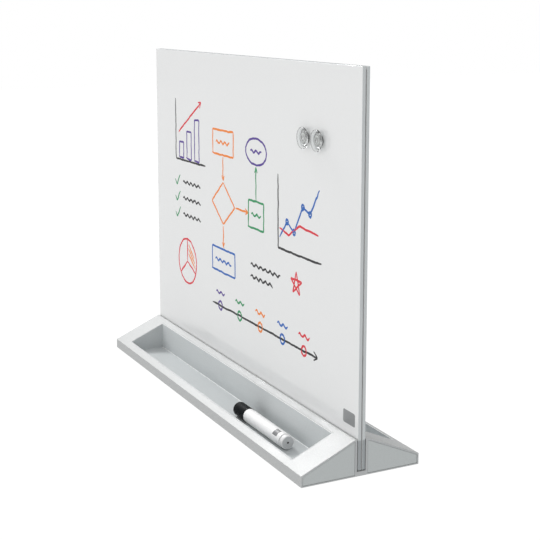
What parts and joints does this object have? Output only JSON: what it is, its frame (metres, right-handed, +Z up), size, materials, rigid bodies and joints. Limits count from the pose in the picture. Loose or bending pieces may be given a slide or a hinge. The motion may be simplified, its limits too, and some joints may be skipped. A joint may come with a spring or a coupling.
{
  "type": "magnetic desk whiteboard easel",
  "caption": "Upright magnetic glass writing board that stands in the channel of a long wedge-shaped rail with a marker tray along each side, with a marker and clear magnets.",
  "frame": {"origin": "on the desk, under the middle of the rail", "axes": "+X along the rail to the right, -Y towards the front, +Z up"},
  "size_m": [0.6, 0.1534, 0.4575],
  "materials": {
    "rail_finish": "satin",
    "tray_plastic": "fine texture",
    "end_cap_plastic": "fine texture",
    "gasket_rubber": "matt",
    "block_rubber": "matt",
    "foot_rubber": "matt",
    "board_glass": "white backed, polished",
    "sheet_steel": "zinc plated",
    "core_tape": "matt",
    "knob_clear": "clear, polished",
    "disc_nickel": "nickel plated",
    "marker_white": "gloss",
    "marker_black": "gloss",
    "marker_fibre": "felt",
    "marker_wadding": "fibre"
  },
  "bodies": {
    "base": {"base_rail": "rail_finish", "front_marker_tray": "tray_plastic", "rear_marker_tray": "tray_plastic", "front_left_end_cap": "end_cap_plastic", "front_right_end_cap": "end_cap_plastic", "rear_left_end_cap": "end_cap_plastic", "rear_right_end_cap": "end_cap_plastic", "front_channel_gasket": "gasket_rubber", "rear_channel_gasket": "gasket_rubber", "left_setting_block": "block_rubber", "right_setting_block": "block_rubber", "front_left_foot": "foot_rubber", "front_middle_foot": "foot_rubber", "front_right_foot": "foot_rubber", "rear_left_foot": "foot_rubber", "rear_middle_foot": "foot_rubber", "rear_right_foot": "foot_rubber"},
    "board": {"front_glass": "board_glass", "rear_glass": "board_glass", "front_steel_sheet": "sheet_steel", "rear_steel_sheet": "sheet_steel", "board_core": "core_tape"},
    "left_magnet": {"left_magnet_knob": "knob_clear", "left_magnet_disc": "disc_nickel"},
    "right_magnet": {"right_magnet_knob": "knob_clear", "right_magnet_disc": "disc_nickel"},
    "marker": {"marker_barrel": "marker_white", "marker_end_plug": "marker_white", "marker_ink_reservoir": "marker_wadding", "marker_nib_holder": "marker_black", "marker_nib": "marker_fibre"},
    "marker_cap": {"marker_cap": "marker_black"}
  },
  "joints": [
    {"name": "board_lift", "type": "slide", "parent": "base", "child": "board", "axis": [0, 0, 1], "range_m": [0, 0.045]},
    {"name": "left_magnet_pull", "type": "slide", "parent": "board", "child": "left_magnet", "axis": [0, -1, 0], "range_m": [0, 0.04]},
    {"name": "right_magnet_pull", "type": "slide", "parent": "board", "child": "right_magnet", "axis": [0, -1, 0], "range_m": [0, 0.04]},
    {"name": "marker_lift", "type": "slide", "parent": "base", "child": "marker", "axis": [0, 0, 1], "range_m": [0, 0.06]},
    {"name": "marker_cap_pull", "type": "slide", "parent": "marker", "child": "marker_cap", "axis": [-1, 0, 0], "range_m": [0, 0.04]}
  ]
}
